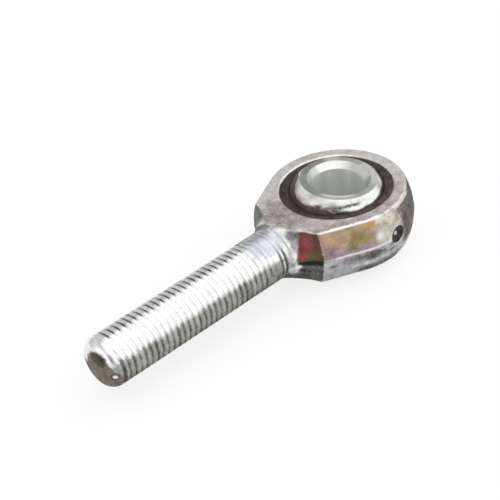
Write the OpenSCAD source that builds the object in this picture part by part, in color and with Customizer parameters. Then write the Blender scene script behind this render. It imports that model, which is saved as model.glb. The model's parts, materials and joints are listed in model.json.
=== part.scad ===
// Rod end bearing with a male thread, in millimetres.
// The origin is the centre of the ball. +X runs along the shank to its tip, and +Z is square to the
// eye's milled faces. The lubricating nipple is in the side of the eye, towards +Y.

/* [Ball] */
// Diameter of the ball
ball_d = 12.7; // [12.4:0.1:14]
// Width of the ball between its flat faces
ball_w = 9; // [8.4:0.1:9.4]
// Bore through the ball
bore_d = 6; // [5:0.1:6.4]
// Chamfer at each end of the bore
bore_chamfer = 0.7; // [0.2:0.05:0.8]
// How far the ball leans in its race at rest, in degrees
ball_lean = 5; // [0:1:12]
// Which way the ball leans at rest, in degrees round from the shank
ball_lean_side = 135; // [0:5:355]

/* [Race] */
// Thickness of the race around the middle of the ball
race_wall = 0.75; // [0.65:0.05:1.2]
// Bevel at each end of the race, for the eye's closed lips
race_bevel = 0.55; // [0.35:0.05:0.7]
// Depth of the race's faces below the eye's milled faces
race_recess = 0.15; // [0.05:0.05:0.3]
// Width of the grease groove inside the race
groove_w = 1.2; // [0.8:0.1:1.8]
// Depth of the grease groove into the race
groove_depth = 0.35; // [0.2:0.05:0.4]
// Hole that leads grease from the nipple through the race
feed_d = 0.8; // [0.5:0.1:1]
// Running gap, on the radius, of the ball and of the grease in the race
run_gap = 0.03; // [0.02:0.01:0.06]

/* [Eye] */
// Thickness of the eye around the race, at its crown
eye_wall = 1.65; // [1.5:0.05:3]
// Thickness of the eye between its milled faces
eye_w = 6.75; // [6.2:0.05:7.2]
// How far the crown falls back towards each milled face
crown_drop = 0.75; // [0.2:0.05:1.1]
// Angle at which each flank of the eye runs in towards the shank
flank_angle = 26; // [22:1:30]

/* [Shank] */
// Length from the centre of the ball to the tip of the shank
reach = 36; // [30:0.5:60]
// Nominal diameter of the thread
thread_d = 6; // [5:0.1:6.4]
// Pitch of the thread
pitch = 0.75; // [0.5:0.05:1]
// Plain length at each end of the thread, at least
thread_relief = 0.2; // [0.1:0.05:1]
// Length of the neck, from the eye's crown to the end of the fillet
neck_len = 3.25; // [2.8:0.05:4]
// Radius of the fillet turned between the eye and the shank
neck_r = 4; // [3.4:0.1:4.6]
// Rounding of the tip of the shank
tip_r = 1.5; // [0.5:0.1:2.2]

/* [Nipple] */
// Where the nipple is, in degrees round from the shank
nipple_angle = 95; // [80:1:135]
// Diameter of the nipple
nipple_d = 2.1; // [1.8:0.1:2.6]
// Depth of the nipple's outer face below the eye's crown
nipple_recess = 0.15; // [0.15:0.05:0.25]
// Width of the flat rim around the nipple's funnel
nipple_rim = 0.3; // [0.15:0.05:0.4]
// Depth of the funnel, down to the edge that the check ball seats on
funnel_depth = 0.25; // [0.15:0.05:0.3]
// Diameter of that edge
seat_d = 0.56; // [0.45:0.01:0.65]
// Thickness of the floor that the check spring stands on
floor_t = 0.12; // [0.08:0.01:0.15]

/* [Check valve] */
// Diameter of the check ball
check_d = 0.8; // [0.76:0.01:0.9]
// Gap between the check ball and its seat, its chamber and its spring
check_gap = 0.02; // [0.01:0.01:0.03]
// Wire of the check spring
wire_d = 0.1; // [0.06:0.01:0.12]
// Gap between the check spring and the wall of its chamber
coil_gap = 0.07; // [0.04:0.01:0.1]
// Rise of the check spring in one turn
coil_pitch = 0.2; // [0.16:0.01:0.3]

/* [Hidden] */
$fn = 96;
over = 1;                           // how far a cut runs past the face that it opens
ball_r = ball_d / 2;
race_r = ball_r + race_wall;
race_w = eye_w - 2 * race_recess;
race_open_r = race_r - race_bevel;
groove_r = ball_r + run_gap + groove_depth;
eye_r = race_r + eye_wall;
crown_r = ((eye_w / 2) ^ 2 + crown_drop ^ 2) / (2 * crown_drop);
shoulder_r = eye_r + over;
thread_r = thread_d / 2;
neck_end = eye_r + neck_len;

// The thread's section follows from its pitch: flanks at 60 degrees, crests an eighth of it wide
thread_h = 17 / 24 * pitch * cos(30);
groove_mouth = 7 / 16 * pitch;
groove_root = groove_mouth - thread_h * tan(30);
thread_room = reach - tip_r - neck_end - 2 * thread_relief;
thread_turns = floor(thread_room / pitch);
first_groove = neck_end + thread_relief + (thread_room - (thread_turns - 1) * pitch) / 2;

// Distances along the nipple's axis, outwards from the centre of the ball
nipple_face = eye_r - nipple_recess;
seat_pos = nipple_face - funnel_depth;
check_pos = seat_pos - sqrt(check_d ^ 2 - seat_d ^ 2) / 2 - check_gap;
floor_pos = race_r + floor_t;

// The check spring stands on the floor and holds the check ball in the mouth of its coil
chamber_d = check_d + 2 * check_gap;
coil_d = chamber_d - 2 * coil_gap - wire_d;
floor_hole_d = coil_d - wire_d - 2 * check_gap;
coil_bottom = floor_pos + wire_d / 2;
coil_top = check_pos - sqrt((check_d + wire_d) ^ 2 - coil_d ^ 2) / 2 - check_gap;
coil_turns = (coil_top - coil_bottom) / coil_pitch;
coil_steps = ceil(20 * coil_turns);
wire_sides = 8;

// Places its children on the nipple's axis, with their +Z outwards.
module on_nipple_axis() {
    rotate([0, 0, nipple_angle]) rotate([0, 90, 0]) children();
}

// Half of the eye's section: a milled face above and below, and the crowned edge between them.
module crown_section() {
    intersection() {
        translate([0, -eye_w / 2]) square([eye_r, eye_w]);
        translate([eye_r - crown_r, 0]) circle(r = crown_r);
    }
}

// The round of the eye, from flank to flank.
module eye_round() {
    rotate([0, 0, 90 - flank_angle]) rotate_extrude(angle = 180 + 2 * flank_angle) crown_section();
}

// One flank: the eye's section carried on in a straight line, tangent to the round.
module flank() {
    rotate([0, 0, 90 - flank_angle]) rotate([90, 0, 0]) linear_extrude(neck_end) crown_section();
}

// What the lathe leaves behind the shank: the fillet of the neck, and the shoulder of the eye.
module turned_neck() {
    rotate([0, 90, 0]) rotate_extrude() rotate([0, 0, 90])
        difference() {
            translate([-shoulder_r, 0]) square([shoulder_r + neck_end, shoulder_r]);
            translate([neck_end, thread_r + neck_r]) circle(r = neck_r);
            translate([neck_end - neck_r, thread_r + neck_r]) square([neck_r + over, shoulder_r]);
        }
}

// Half of the shank's section before its thread is cut, from the neck to the rounded tip.
module shank_blank() {
    translate([neck_end, 0]) square([reach - tip_r - neck_end, thread_r]);
    translate([reach - tip_r, 0]) square([tip_r, thread_r - tip_r]);
    intersection() {
        translate([reach - tip_r, thread_r - tip_r]) circle(r = tip_r);
        translate([reach - tip_r, thread_r - tip_r]) square(tip_r);
    }
}

// The section of one groove of the thread, with the middle of its mouth at x = 0.
module thread_groove() {
    polygon([
        [-groove_mouth, thread_r + over],
        [-groove_mouth, thread_r],
        [-groove_root, thread_r - thread_h],
        [groove_root, thread_r - thread_h],
        [groove_mouth, thread_r],
        [groove_mouth, thread_r + over]
    ]);
}

// The shank. Its thread is cut as one ring to a pitch, so that its crests stay true cylinders.
module shank() {
    rotate([0, 90, 0]) rotate_extrude() rotate([0, 0, 90])
        difference() {
            shank_blank();
            for (i = [0 : thread_turns - 1]) translate([first_groove + i * pitch, 0]) thread_groove();
        }
}

// The race without its bores, which is also its seat in the eye. The eye's lips close on its bevels.
module race_blank() {
    rotate_extrude()
        polygon([
            [0, -race_w / 2],
            [race_open_r, -race_w / 2],
            [race_r, race_bevel - race_w / 2],
            [race_r, race_w / 2 - race_bevel],
            [race_open_r, race_w / 2],
            [0, race_w / 2]
        ]);
}

// The mouth of the upper lip, which opens at 45 degrees from the race up to the milled face.
module lip_mouth() {
    depth = race_recess + over;
    translate([0, 0, race_w / 2]) cylinder(r1 = race_open_r, r2 = race_open_r + depth, h = depth);
}

// The upper end of the ball's bore, opened by its chamfer.
module bore_mouth() {
    depth = bore_chamfer + over;
    translate([0, 0, ball_w / 2 - bore_chamfer])
        cylinder(d1 = bore_d, d2 = bore_d + 2 * depth, h = depth);
}

// The nipple's funnel, carried on past its outer face at the same slope.
module funnel() {
    slope = (nipple_d / 2 - nipple_rim - seat_d / 2) / funnel_depth;
    depth = funnel_depth + over;
    translate([0, 0, seat_pos]) cylinder(r1 = seat_d / 2, r2 = seat_d / 2 + slope * depth, h = depth);
}

// The wire of the check spring: a ring of points at each step along a helix, joined in turn.
module coil() {
    ring_points = [
        for (i = [0 : coil_steps], k = [0 : wire_sides - 1])
            let (
                turn = 360 * coil_turns * i / coil_steps,
                side = 360 * k / wire_sides,
                radius = (coil_d + wire_d * cos(side)) / 2,
                rise = (coil_top - coil_bottom) * i / coil_steps + wire_d * sin(side) / 2
            )
            [radius * cos(turn), radius * sin(turn), coil_bottom + rise]
    ];
    ring_faces = [
        for (i = [0 : coil_steps - 1], k = [0 : wire_sides - 1])
            let (
                this_ring = i * wire_sides,
                next_ring = this_ring + wire_sides,
                next_side = (k + 1) % wire_sides
            )
            [this_ring + k, next_ring + k, next_ring + next_side, this_ring + next_side]
    ];
    first_cap = [for (k = [0 : wire_sides - 1]) k];
    last_cap = [for (k = [wire_sides - 1 : -1 : 0]) coil_steps * wire_sides + k];
    polyhedron(ring_points, concat([first_cap], ring_faces, [last_cap]));
}

module rod_body() {
    color("silver")
    difference() {
        union() {
            intersection() {
                union() {
                    eye_round();
                    flank();
                    mirror([0, 1, 0]) flank();
                }
                turned_neck();
            }
            shank();
        }
        race_blank();
        lip_mouth();
        mirror([0, 0, 1]) lip_mouth();
        on_nipple_axis() cylinder(d = nipple_d, h = shoulder_r);
    }
}

module race() {
    color("dimgray")
    difference() {
        race_blank();
        sphere(r = ball_r + run_gap);
        cylinder(r = groove_r, h = groove_w, center = true);
        on_nipple_axis() cylinder(d = feed_d, h = race_r + over);
    }
}

module ball() {
    color("gainsboro")
    rotate([0, ball_lean, ball_lean_side])
    difference() {
        intersection() {
            sphere(r = ball_r);
            cylinder(r = ball_r, h = ball_w, center = true);
        }
        cylinder(d = bore_d, h = ball_w + over, center = true);
        bore_mouth();
        mirror([0, 0, 1]) bore_mouth();
    }
}

// The grease that fills the groove, clear of the race and of the ball by the running gap.
module grease_ring() {
    color("saddlebrown")
    difference() {
        cylinder(r = groove_r - run_gap, h = groove_w - 2 * run_gap, center = true);
        sphere(r = ball_r + run_gap);
    }
}

module nipple_body() {
    color("darkgray")
    on_nipple_axis()
    difference() {
        translate([0, 0, race_r]) cylinder(d = nipple_d, h = nipple_face - race_r);
        translate([0, 0, floor_pos]) cylinder(d = chamber_d, h = seat_pos - floor_pos);
        cylinder(d = floor_hole_d, h = seat_pos);
        funnel();
    }
}

module check_ball() {
    color("gainsboro")
    on_nipple_axis() translate([0, 0, check_pos]) sphere(d = check_d);
}

module check_spring() {
    color("gray")
    on_nipple_axis() coil();
}

rod_body();
race();
ball();
grease_ring();
nipple_body();
check_ball();
check_spring();
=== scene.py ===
# The looks of the rod end bearing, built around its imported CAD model. Everything is in metres.
import json
import math

import bmesh
import bpy
import numpy as np
from mathutils import Matrix, Vector
from mathutils.bvhtree import BVHTree


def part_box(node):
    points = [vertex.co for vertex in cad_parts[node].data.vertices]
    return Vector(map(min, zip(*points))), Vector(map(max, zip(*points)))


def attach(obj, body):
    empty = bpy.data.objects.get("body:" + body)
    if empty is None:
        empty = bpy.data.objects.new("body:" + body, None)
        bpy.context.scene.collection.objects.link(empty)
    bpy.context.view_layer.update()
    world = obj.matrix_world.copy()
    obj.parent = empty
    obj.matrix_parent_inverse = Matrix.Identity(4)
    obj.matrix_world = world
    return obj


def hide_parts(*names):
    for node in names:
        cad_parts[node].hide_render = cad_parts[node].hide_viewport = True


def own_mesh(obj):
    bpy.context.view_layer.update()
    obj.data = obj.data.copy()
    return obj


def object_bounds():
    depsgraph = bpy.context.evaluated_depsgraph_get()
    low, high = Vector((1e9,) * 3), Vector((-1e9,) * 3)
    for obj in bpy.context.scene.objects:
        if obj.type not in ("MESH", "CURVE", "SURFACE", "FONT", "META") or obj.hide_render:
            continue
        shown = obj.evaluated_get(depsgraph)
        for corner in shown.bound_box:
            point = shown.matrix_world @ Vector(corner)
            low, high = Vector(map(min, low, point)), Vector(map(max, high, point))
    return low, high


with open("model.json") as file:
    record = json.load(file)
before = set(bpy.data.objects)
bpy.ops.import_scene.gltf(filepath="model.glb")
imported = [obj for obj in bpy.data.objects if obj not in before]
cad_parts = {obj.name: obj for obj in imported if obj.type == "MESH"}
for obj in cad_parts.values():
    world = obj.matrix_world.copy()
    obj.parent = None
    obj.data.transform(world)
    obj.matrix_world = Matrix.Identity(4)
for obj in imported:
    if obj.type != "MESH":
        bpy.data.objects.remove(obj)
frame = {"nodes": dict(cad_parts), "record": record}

cad_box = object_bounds()
MM = 0.001

# -------------------- image points, in the photograph
IMAGE_W = 500
IMAGE_H = 500
LEFT_X = 83.3
RIGHT_X = 414.0
TOP_Y = 149.6
BOTTOM_Y = 385.8
RACE_RIM = (336.6, 187.6)
BALL_FACE = (339.5, 178.1)
NIPPLE = (398.8, 235.7)
NECK_CORNER = (319.2, 232.9)
RED_STAIN_AT = (307.0, 247.0)
OLIVE_STAIN_AT = (316.0, 256.0)
MOSS_STAIN_AT = (361.5, 238.5)
STRAW_STAIN_AT = (369.0, 224.5)
ROSE_STAIN_AT = (373.5, 231.5)
VIOLET_STAIN_AT = (351.5, 260.0)
LOW_SHADE_AT = (373.0, 255.0)
UMBER_AT = (284.0, 216.0)
BRIGHT_AT = (280.0, 183.0)
NECK_SHADE_AT = (292.0, 236.0)
TIP_PATCH_AT = (97.0, 360.0)
# where a painted glint shows on the tip
TIP_GLINT = (115.4, 377.3)

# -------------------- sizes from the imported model
mounts = {mount["name"]: mount for mount in frame["record"]["mounts"]}
rod_low, rod_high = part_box("rod_body")
race_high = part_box("race")[1]
REACH = rod_high.x
EYE_R = -rod_low.x
HALF_EYE = rod_high.z
RACE_R = race_high.x
HALF_RACE = race_high.z
BALL_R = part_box("ball")[1].x
BALL_AXIS = Vector(mounts["bore"]["axis"]).normalized()
HALF_BALL = Vector(mounts["ball_face_upper"]["pos_m"]).dot(BALL_AXIS)
BALL_FACE_R = math.sqrt(BALL_R ** 2 - HALF_BALL ** 2)
BORE_R = mounts["bore"]["dims"]["r_mm"] * MM
THREAD_R = mounts["thread"]["dims"]["r_mm"] * MM
NIPPLE_AXIS = Vector(mounts["grease_nipple"]["axis"]).normalized()

# -------------------- sizes of the forms
# The head: its flanks, its crowned edge, and the fillet and neck turned between it and the shank
FLANK_ANGLE = math.radians(26)
CROWN_DROP = 0.75 * MM
CROWN_R = (HALF_EYE ** 2 + CROWN_DROP ** 2) / (2 * CROWN_DROP)
NECK_LEN = 3.25 * MM
NECK_R = 4.0 * MM
NECK_END = EYE_R + NECK_LEN
CREASE_R = 0.25 * MM
EDGE_R = 0.16 * MM
SEAM_HEIGHT = 0.05 * MM
SEAM_WIDTH = 0.16 * MM
# each groove turned in the neck: where it is, its half width and its depth
TURNED_GROOVES = ((11.2 * MM, 0.2 * MM, 0.13 * MM), (11.75 * MM, 0.14 * MM, 0.11 * MM))

# The join: the head and the shank are two closed forms, and each dives below the other past it
JOIN_X = 10.5 * MM
DIVE = 0.35 * MM
DIVE_LEN = 0.5 * MM

# The thread: its crest and its two flanks as shares of the pitch, and the run-out towards the neck,
# which lifts it by a little more than its depth
PITCH = 0.75 * MM
THREAD_DEPTH = 0.18 * MM
CREST_SHARE = 0.44
FLANK_SHARE = 0.42
THREAD_START = 12.0 * MM
RUNOUT = 2.2 * MM
RUNOUT_LIFT = 1.15 * THREAD_DEPTH
TIP_R = 1.5 * MM
THREAD_END = REACH - TIP_R

# The race, the ball and the nipple's hole
LIP_R = 6.55 * MM
LIP_BEVEL = RACE_R - LIP_R
LIP_MOUTH_R = LIP_R + HALF_EYE - HALF_RACE
RUN_GAP = 0.03 * MM
BORE_CHAMFER = 0.7 * MM
CHAMFER_R = BORE_R + BORE_CHAMFER
NIPPLE_HOLE_R = 1.05 * MM

# Points round a turned piece, the angle an arc leaves for the corner at its end, and the angle
# between faces from which an edge is sharp
TURNED_COUNT = 256
RACE_ARC_ROOM = 0.012
BALL_ARC_ROOM = 0.016
SHARP_ANGLE = math.radians(38)

# -------------------- camera
SENSOR = 36.0
LENS = 101.74
CAMERA_AZIMUTH = math.radians(141.7)
CAMERA_ELEVATION = math.radians(35.55)
CAMERA_ROLL = math.radians(-7.94)
CAMERA_DISTANCE = 164.3 * MM
AIM_RIGHT = -10.27 * MM
AIM_UP = -4.62 * MM


def camera_axes():
    """The camera's right, up and back directions in the frame."""
    back = Vector((
        math.sin(CAMERA_AZIMUTH) * math.cos(CAMERA_ELEVATION),
        -math.cos(CAMERA_AZIMUTH) * math.cos(CAMERA_ELEVATION),
        math.sin(CAMERA_ELEVATION),
    ))
    level = Vector((math.cos(CAMERA_AZIMUTH), math.sin(CAMERA_AZIMUTH), 0))
    upright = back.cross(level)
    c, s = math.cos(CAMERA_ROLL), math.sin(CAMERA_ROLL)
    return c * level + s * upright, c * upright - s * level, back


def add_camera():
    right, up, back = camera_axes()
    data = bpy.data.cameras.new("camera")
    data.sensor_fit = "AUTO"
    data.sensor_width = SENSOR
    data.lens = LENS
    data.clip_start = 1 * MM
    camera = bpy.data.objects.new("camera", data)
    stand = AIM_RIGHT * right + AIM_UP * up + CAMERA_DISTANCE * back
    turn = Matrix((right, up, back)).transposed()
    camera.matrix_world = Matrix.Translation(stand) @ turn.to_4x4()
    bpy.context.scene.collection.objects.link(camera)
    bpy.context.scene.camera = camera
    return camera


camera = add_camera()


# -------------------- mesh helpers
SAME_PLACE = 0.0001 * MM


def new_object(name, verts, faces):
    """A smooth piece in the frame's own place, without double points, its faces turned outwards."""
    mesh = bpy.data.meshes.new(name)
    mesh.from_pydata([tuple(v) for v in verts], [], faces)
    cleaned = bmesh.new()
    cleaned.from_mesh(mesh)
    bmesh.ops.remove_doubles(cleaned, verts=cleaned.verts, dist=SAME_PLACE)
    bmesh.ops.dissolve_degenerate(cleaned, edges=cleaned.edges, dist=SAME_PLACE / 10)
    bmesh.ops.recalc_face_normals(cleaned, faces=cleaned.faces)
    cleaned.to_mesh(mesh)
    cleaned.free()
    mesh.shade_smooth()
    piece = bpy.data.objects.new(name, mesh)
    bpy.context.scene.collection.objects.link(piece)
    return piece


def grid_faces(rows, columns):
    """Quads of a grid of points, row by row, closed round both its columns and its rows."""
    faces = []
    for i in range(rows):
        here, above = i * columns, (i + 1) % rows * columns
        for j in range(columns):
            right = (j + 1) % columns
            faces.append((here + j, here + right, above + right, above + j))
    return faces


def lathe(name, profile, segments, matrix=Matrix.Identity(4)):
    """Turns a closed profile of (radius, height) points about Z."""
    turn = np.arange(segments) * 2 * math.pi / segments
    verts = []
    for radius, height in profile:
        ring = np.stack([radius * np.cos(turn), radius * np.sin(turn), np.full(segments, height)], 1)
        verts.extend(ring)
    piece = new_object(name, verts, grid_faces(len(profile), segments))
    piece.data.transform(matrix)
    return piece


def arc_points(radius, limit, steps):
    """Points (x, y) on an arc about the origin, from one angle below the x axis to the same above it."""
    angles = [-limit + 2 * limit * k / steps for k in range(steps + 1)]
    return [(radius * math.cos(a), radius * math.sin(a)) for a in angles]


def rounded(corners, steps=4):
    """A closed outline through (x, y, radius) corners, each rounded by an arc between two held points."""
    held = 0.4
    outline = []
    for k, (x, y, radius) in enumerate(corners):
        here = Vector((x, y))
        before = (Vector(corners[k - 1][:2]) - here).normalized()
        after = (Vector(corners[(k + 1) % len(corners)][:2]) - here).normalized()
        if radius == 0:
            outline.append((x, y))
            continue
        half = before.angle(after) / 2
        hold = before * radius * (1 / math.tan(half) + held)
        outline.append((x + hold.x, y + hold.y))
        centre = here + (before + after).normalized() * radius / math.sin(half)
        first = here + before * radius / math.tan(half) - centre
        last = here + after * radius / math.tan(half) - centre
        start = math.atan2(first.y, first.x)
        sweep = math.remainder(math.atan2(last.y, last.x) - start, 2 * math.pi)
        for i in range(steps + 1):
            a = start + sweep * i / steps
            outline.append((centre.x + radius * math.cos(a), centre.y + radius * math.sin(a)))
        hold = after * radius * (1 / math.tan(half) + held)
        outline.append((x + hold.x, y + hold.y))
    return outline


# -------------------- smooth curves
def smooth_step(a):
    """0 up to 0, 1 from 1, and a smooth rise between them."""
    a = np.clip(a, 0, 1)
    return a * a * (3 - 2 * a)


def rise(value, start, length):
    """A smooth rise from 0 to 1 over a length."""
    return smooth_step((value - start) / length)


def fall(value, start, length):
    """A smooth fall from 1 to 0 over a length."""
    return 1 - rise(value, start, length)


def hump(value, middle, half):
    """A bell of height 1 round a middle value."""
    return np.exp(-((value - middle) / half) ** 2)


def band(value, low, high, soft):
    """1 between low and high, falling to 0 over a soft edge centred on each."""
    return smooth_step((value - low) / soft + 0.5) * smooth_step((high - value) / soft + 0.5)


# -------------------- the rod's forms as distances
def round_max(a, b, radius):
    """The larger of two distances, with the edge between their surfaces rounded."""
    inner = np.minimum(np.maximum(a, b), -radius)
    return inner + np.hypot(np.maximum(a + radius, 0), np.maximum(b + radius, 0))


def side_distance(x, y, z):
    """Distance outside the eye's crowned edge and its straight flanks."""
    across = x * math.sin(FLANK_ANGLE) + np.abs(y) * math.cos(FLANK_ANGLE)
    along = x * math.cos(FLANK_ANGLE) - np.abs(y) * math.sin(FLANK_ANGLE)
    plan = np.where(along > 0, across, np.hypot(x, y))
    return np.hypot(plan - (EYE_R - CROWN_R), z) - CROWN_R


def neck_radius(x):
    """Radius of the turned fillet and of the shank at x."""
    off = np.clip(NECK_END - x, 0, NECK_R)
    return THREAD_R + NECK_R - np.sqrt(NECK_R ** 2 - off ** 2)


def turned_distance(x, rho):
    """Distance outside the turned fillet, shoulder and shank."""
    fillet = NECK_R - np.hypot(x - NECK_END, rho - THREAD_R - NECK_R)
    shoulder = x - (NECK_END - NECK_R)
    return np.where(
        x > NECK_END, rho - THREAD_R, np.where(rho > THREAD_R + NECK_R, shoulder, fillet)
    )


def head_distance(x, y, z):
    """Distance outside the forged head, without its bore; its parting line stands a little proud."""
    dive = DIVE * rise(x, JOIN_X, DIVE_LEN)
    side = round_max(side_distance(x, y, z), turned_distance(x, np.hypot(y, z)) + dive, CREASE_R)
    side = side - SEAM_HEIGHT * hump(z, 0, SEAM_WIDTH)
    side = np.maximum(side, x - JOIN_X - DIVE_LEN)
    return round_max(side, np.abs(z) - HALF_EYE, EDGE_R)


def bare_distance(x, y, z):
    """Distance outside the eye and the turned neck, before their edges are rounded."""
    return np.maximum(side_distance(x, y, z), turned_distance(x, np.hypot(y, z)))


# Rays for the head's surface: the core that they start from, their length, which ends beyond the
# surface, and how often each is halved to find it
CORE_R = 7.2 * MM
RAY_LEN = 6 * MM
HALVINGS = 32


def walk_out(start, direction, distance):
    """For arrays of rays, the point on each where the distance turns positive."""
    low = np.zeros(start.shape[:-1])
    high = np.full(start.shape[:-1], RAY_LEN)
    for _ in range(HALVINGS):
        middle = (low + high) / 2
        point = start + direction * middle[..., None]
        inside = distance(point[..., 0], point[..., 1], point[..., 2]) < 0
        low = np.where(inside, middle, low)
        high = np.where(inside, high, middle)
    return start + direction * low[..., None]


def head_turns():
    """Directions round the eye, closer together where the neck runs into it."""
    neck_span = math.radians(48)
    fine_count, coarse_count = 361, 401
    fine = np.linspace(-neck_span, neck_span, fine_count)
    coarse = np.linspace(neck_span, 2 * math.pi - neck_span, coarse_count)[1:-1]
    return np.concatenate([fine, coarse])


def build_head():
    """Rows of points round the eye: the race's seat, the upper face, its edge, and the side, mirrored."""
    turns = head_turns()
    out = np.stack([np.cos(turns), np.sin(turns), np.zeros_like(turns)], 1)
    up = np.array([0.0, 0.0, 1.0])
    # where the side would meet the milled face if its edge weren't rounded
    face = walk_out(out * CORE_R + up * (HALF_EYE - 0.001 * MM), out, bare_distance)
    edge = np.hypot(face[:, 0], face[:, 1])
    rows = []
    # the seat of the race, the upper lip, and its mouth with a small round edge
    seat = [
        (RACE_R, 0.0), (RACE_R, HALF_RACE - LIP_BEVEL), (LIP_R, HALF_RACE),
        (LIP_R + 0.01 * MM, HALF_RACE + 0.03 * MM), (LIP_MOUTH_R - 0.05 * MM, HALF_EYE - 0.05 * MM),
        (LIP_MOUTH_R - 0.01 * MM, HALF_EYE - 0.018 * MM),
        (LIP_MOUTH_R + 0.03 * MM, HALF_EYE - 0.004 * MM),
    ]
    for radius, height in seat:
        rows.append(out * radius + up * height)
    # the face, from its mouth to where its rounded outer edge begins
    start = LIP_MOUTH_R + 0.07 * MM
    corner = 2.2 * EDGE_R
    face_steps = 8
    for k in range(face_steps + 1):
        radius = start + (edge - corner - start) * k / face_steps
        rows.append(out * radius[:, None] + up * HALF_EYE)
    # the outer edge, along rays that fan out from a hub below it
    hub = out * (edge - corner)[:, None] + up * (HALF_EYE - corner)
    edge_steps = 10
    for k in range(1, edge_steps):
        a = math.pi / 2 * (1 - k / edge_steps)
        rows.append(walk_out(hub, out * math.cos(a) + up * math.sin(a), head_distance))
    side_steps = 22
    for k in range(side_steps + 1):
        height = (HALF_EYE - corner) * (1 - k / side_steps)
        rows.append(walk_out(out * CORE_R + up * height, out, head_distance))
    flip = np.array([1.0, 1.0, -1.0])
    rows = rows + [row * flip for row in rows[1:-1]][::-1]
    return np.concatenate(rows), grid_faces(len(rows), len(turns))


def thread_profile(turn):
    """Depth below the crest, from 0 to 1, at a place in the pitch from 0 to 1."""
    off = np.abs(turn - np.floor(turn) - 0.5) * 2
    return rise(off, CREST_SHARE, FLANK_SHARE)


def shank_radius(x, angle):
    """Radius of the neck, the thread and the rounded tip at x and at an angle round the shank."""
    cut = THREAD_R - THREAD_DEPTH * thread_profile(x / PITCH - angle / (2 * math.pi))
    lift = RUNOUT_LIFT * fall(x, THREAD_START, RUNOUT)
    tip = THREAD_R - TIP_R + np.sqrt(TIP_R ** 2 - np.clip(x - THREAD_END, 0, TIP_R) ** 2)
    turned = neck_radius(x)
    for middle, half, deep in TURNED_GROOVES:
        turned = turned - deep * hump(x, middle, half)
    dive = DIVE * fall(x, JOIN_X - DIVE_LEN, DIVE_LEN)
    return np.minimum(np.minimum(cut + lift, turned), tip) - dive


def thread_steps():
    """Places in one pitch, from 0 to 1, for rows of points: root, flank, crest, flank and root."""
    crest, root = CREST_SHARE / 2, (CREST_SHARE + FLANK_SHARE) / 2
    marks = (-0.5, -root, -crest, crest, root, 0.5)
    counts = (2, 4, 4, 4, 2)
    runs = [np.linspace(low, high, count, endpoint=False)
            for low, high, count in zip(marks, marks[1:], counts)]
    return np.concatenate(runs + [marks[-1:]]) + 0.5


def build_shank():
    """Rows of points that follow the helix, cut off level at both ends, then the rounded tip."""
    sides = 96
    tip_steps = 24
    end_rings = 7
    angles = np.linspace(-math.pi / 2, 3 * math.pi / 2, sides + 1)
    lead = PITCH * angles / (2 * math.pi)
    first = JOIN_X - DIVE_LEN
    rows = []

    def add_row(x):
        radius = shank_radius(np.minimum(x, REACH - SAME_PLACE), angles)
        rows.append(np.stack([x, radius * np.cos(angles), radius * np.sin(angles)], 1))

    for turn in range(int(first / PITCH) - 1, int(THREAD_END / PITCH) + 2):
        for step in thread_steps():
            x = np.clip((turn + step) * PITCH + lead, first, THREAD_END)
            if x.min() < THREAD_END and x.max() > first:
                add_row(x)
    for k in range(1, tip_steps + 1):
        add_row(np.full(sides + 1, THREAD_END + TIP_R * math.sin(math.pi / 2 * k / tip_steps)))
    for left in range(end_rings, 1, -1):
        share = 1 - 1 / left
        rows.append(rows[-1] * np.array([1, share, share]))
    width = sides + 1
    faces = [(i * width + j, i * width + width + j, i * width + width + j + 1, i * width + j + 1)
             for i in range(len(rows) - 1) for j in range(sides)]
    end = (len(rows) - 1) * width
    faces.append(tuple(range(sides)))
    faces.append(tuple(range(end + sides - 1, end - 1, -1)))
    return np.concatenate(rows), faces


def drill_nipple_hole(head):
    """Cuts the nipple's hole through the wall of the eye, with a small chamfer at its mouth."""
    turn = NIPPLE_AXIS.to_track_quat("Z", "Y").to_matrix().to_4x4()
    sides = 64
    past, chamfer, middle = 0.5 * MM, 0.2 * MM, 0.01 * MM
    inner, outer = RACE_R - past, EYE_R + past
    ring = [
        (middle, inner), (NIPPLE_HOLE_R, inner), (NIPPLE_HOLE_R, EYE_R - 0.6 * chamfer),
        (NIPPLE_HOLE_R + chamfer, EYE_R + 0.4 * chamfer), (NIPPLE_HOLE_R + chamfer, outer), (middle, outer),
    ]
    drill = lathe("drill", ring, sides, turn)
    cut = head.modifiers.new("hole", "BOOLEAN")
    cut.operation = "DIFFERENCE"
    cut.solver = "EXACT"
    cut.object = drill
    seen = bpy.context.evaluated_depsgraph_get()
    head.data = bpy.data.meshes.new_from_object(head.evaluated_get(seen))
    head.modifiers.clear()
    bpy.data.objects.remove(drill)


def build_rod():
    """The forged head and the threaded shank, joined as one piece."""
    head = new_object("rod_forging", *build_head())
    drill_nipple_hole(head)
    shank = new_object("shank", *build_shank())
    mesh = bmesh.new()
    mesh.from_mesh(head.data)
    mesh.from_mesh(shank.data)
    mesh.to_mesh(head.data)
    mesh.free()
    bpy.data.objects.remove(shank)
    head.data.shade_smooth()
    head.data.set_sharp_from_angle(angle=SHARP_ANGLE)
    return head


def build_race():
    """The race: a spherical bore round the ball, and flat ends with a bevel for the staked lips."""
    inner = BALL_R + RUN_GAP
    edge = math.sqrt(inner ** 2 - HALF_RACE ** 2)
    bore = arc_points(inner, math.asin(HALF_RACE / inner) - RACE_ARC_ROOM, 40)
    # a small round at the bore's edge, the flat end, and the bevel
    upper = [
        (edge + 0.02 * MM, HALF_RACE - 0.02 * MM), (edge + 0.09 * MM, HALF_RACE),
        (edge + 0.5 * MM, HALF_RACE), (LIP_R, HALF_RACE), (RACE_R, HALF_RACE - LIP_BEVEL),
    ]
    lower = [(radius, -height) for radius, height in reversed(upper)]
    return lathe("race_ring", bore + upper + lower, TURNED_COUNT)


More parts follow.
